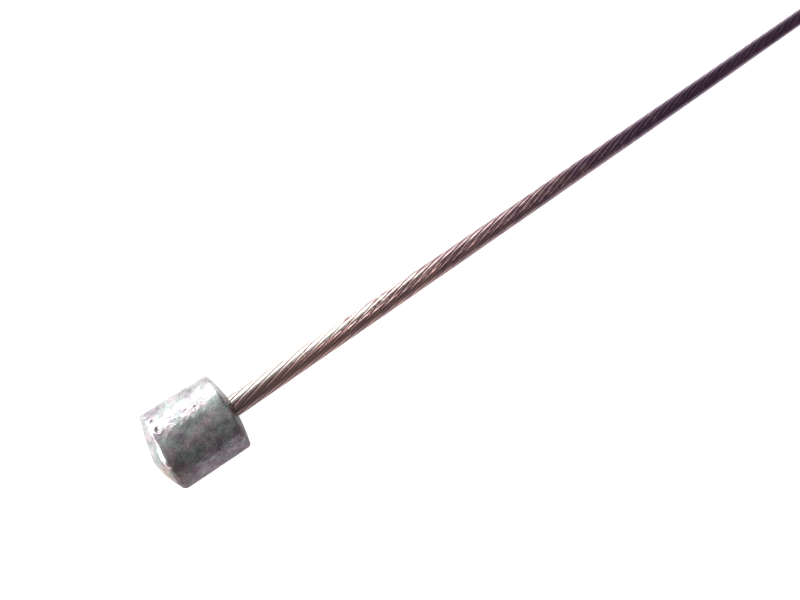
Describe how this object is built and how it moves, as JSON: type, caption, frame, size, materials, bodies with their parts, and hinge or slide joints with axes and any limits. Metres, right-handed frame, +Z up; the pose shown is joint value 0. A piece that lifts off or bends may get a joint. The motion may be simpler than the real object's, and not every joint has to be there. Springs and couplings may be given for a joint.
{
  "type": "shift cable",
  "caption": "Bicycle inner shift cable: a twisted steel strand with a cast zinc barrel head, its spare length wound into a coil held by ties.",
  "frame": {"origin": "on the surface that the cable lies on, straight under the middle of the barrel head", "axes": "+X along the head's axis from its crowned free end to the seat where the strand comes out; +Z up from the surface"},
  "size_m": [0.0821, 0.022, 0.0118],
  "materials": {
    "zinc_casting": "dull die-cast zinc, slightly mottled",
    "steel_strand": "bright drawn steel wires, laid left-handed",
    "tie_plastic": "dull black plastic band"
  },
  "bodies": {
    "root": {"barrel_head": "zinc_casting", "strand_run": "steel_strand", "strand_coil": "steel_strand", "coil_tie_1": "tie_plastic", "coil_tie_2": "tie_plastic"}
  },
  "joints": []
}
